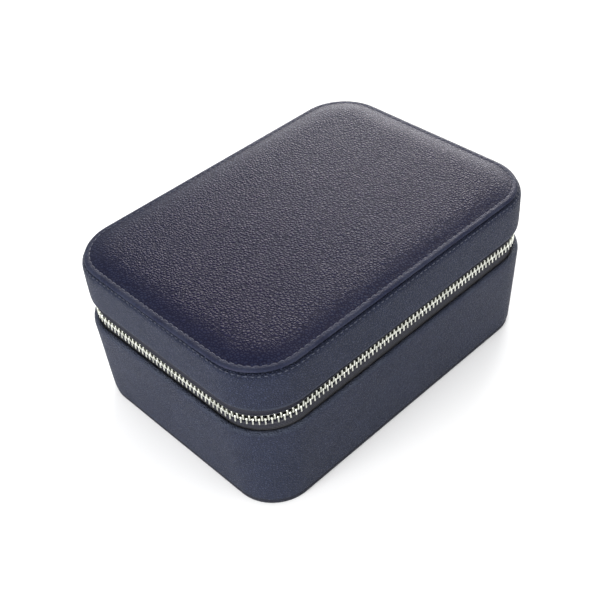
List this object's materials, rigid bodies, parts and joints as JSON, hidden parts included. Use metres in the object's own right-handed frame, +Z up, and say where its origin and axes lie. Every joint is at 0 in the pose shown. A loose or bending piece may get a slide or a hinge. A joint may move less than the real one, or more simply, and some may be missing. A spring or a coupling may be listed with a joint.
{
  "type": "leather jewellery case",
  "caption": "Zip-around travel jewellery case in pebbled leather with a padded hinged lid, metal zip, ring rolls, dividers, mirror and lid pocket.",
  "frame": {"origin": "middle of the case's footprint, on the surface it stands on; the pull tab's eye on the right is counted in the width", "axes": "+X along the long side to the right, +Y from the front to the hinge at the back, +Z up"},
  "size_m": [0.1792, 0.127, 0.0811],
  "materials": {
    "panel_leather": "satin",
    "wall_leather": "satin",
    "base_leather": "matte",
    "board": "matte",
    "foam": "matte",
    "suede": "matte",
    "elastic": "matte",
    "zip_tape": "matte",
    "zip_teeth": "satin",
    "zip_metal": "polished",
    "mirror": "gloss"
  },
  "bodies": {
    "base": {"bottom_panel": "base_leather", "base_cover": "wall_leather", "base_walls": "board", "base_floor": "board", "base_lining": "suede", "long_divider": "suede", "short_divider": "suede", "rear_divider_left": "suede", "rear_divider_right": "suede", "ring_bed": "suede", "ring_roll_1": "suede", "ring_roll_2": "suede", "ring_roll_3": "suede", "ring_roll_4": "suede", "ring_roll_5": "suede", "ring_roll_6": "suede", "ring_roll_7": "suede", "zip_tape_lower": "zip_tape", "zip_teeth_lower": "zip_teeth", "zip_stops_lower": "zip_teeth", "spine": "wall_leather", "spine_lining": "suede"},
    "lid": {"zip_tape_upper": "zip_tape", "zip_teeth_upper": "zip_teeth", "zip_stops_upper": "zip_teeth", "lid_cover": "wall_leather", "lid_walls": "board", "lid_board": "board", "lid_filler": "board", "panel_card": "board", "lid_foam": "foam", "lid_panel": "panel_leather", "lid_lining": "suede", "mirror_frame": "wall_leather", "mirror": "mirror", "lid_pocket": "elastic"},
    "slider": {"slider": "zip_metal"},
    "puller": {"puller": "zip_metal"}
  },
  "joints": [
    {"name": "lid_hinge", "type": "hinge", "parent": "base", "child": "lid", "pos_m": [-0.00135, 0.0635, 0.052], "axis": [-1, 0, 0], "range_deg": [0, 105], "deforming": ["spine", "spine_lining"]},
    {"name": "zip_slide", "type": "slide", "parent": "base", "child": "slider", "axis": [0, -1, 0], "range_m": [0, 0.06]},
    {"name": "tab_swing", "type": "hinge", "parent": "slider", "child": "puller", "pos_m": [0.08795, 0.03, 0.052], "axis": [0, -1, 0], "range_deg": [0, 175]}
  ]
}
